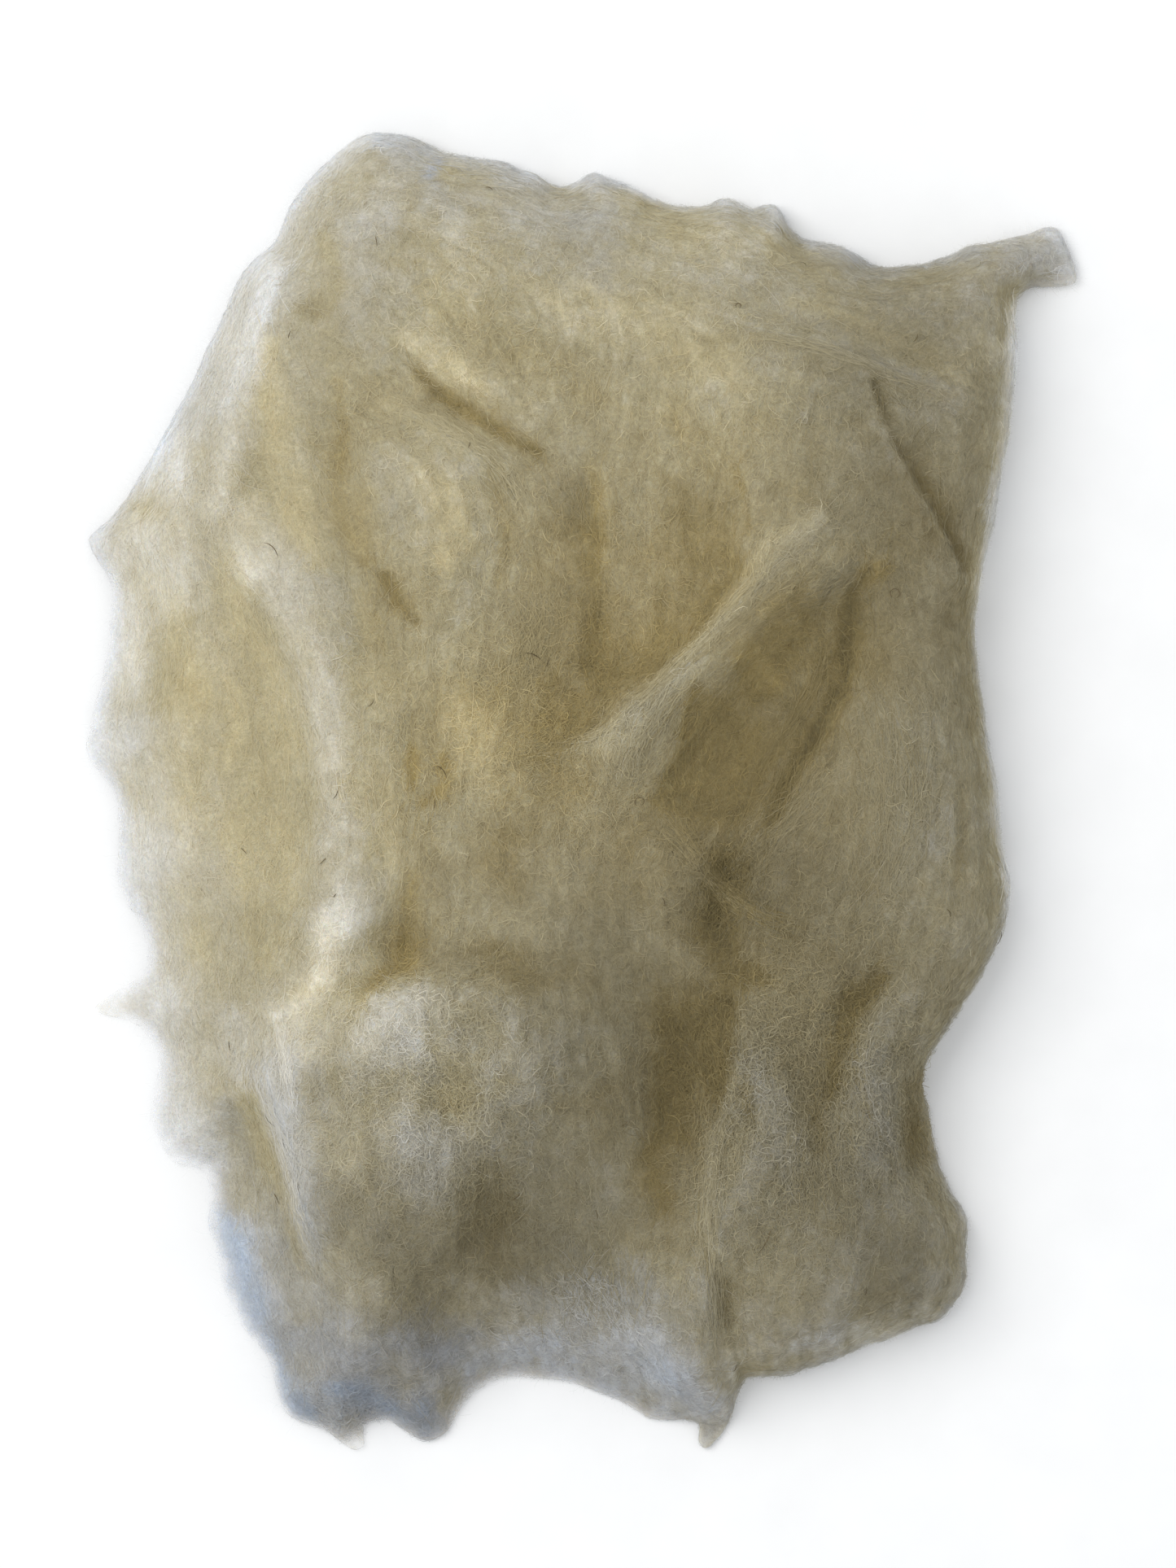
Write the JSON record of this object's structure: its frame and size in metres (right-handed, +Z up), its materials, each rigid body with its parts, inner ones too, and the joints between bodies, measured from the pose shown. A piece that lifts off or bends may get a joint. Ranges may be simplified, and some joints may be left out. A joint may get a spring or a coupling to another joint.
{
  "type": "carded wool batt",
  "caption": "Loose batt of carded cream wool lying flat, with soft rolled folds, hollows and torn wispy edges, for spinning, felting or filling.",
  "frame": {"origin": "centre of the batt's box, on the surface that the flat underside rests on", "axes": "+Z up from the surface the batt rests on, +Y along the longer side towards the rolled top edge, +X towards the side with the thin tab at its upper corner"},
  "size_m": [0.3054, 0.4058, 0.0559],
  "materials": {
    "carded_wool": "matte, fibrous and fuzzy, cream, warmer brown in its hollows and paler where it thins to a veil"
  },
  "bodies": {
    "root": {"wool_batt": "carded_wool"}
  },
  "joints": []
}
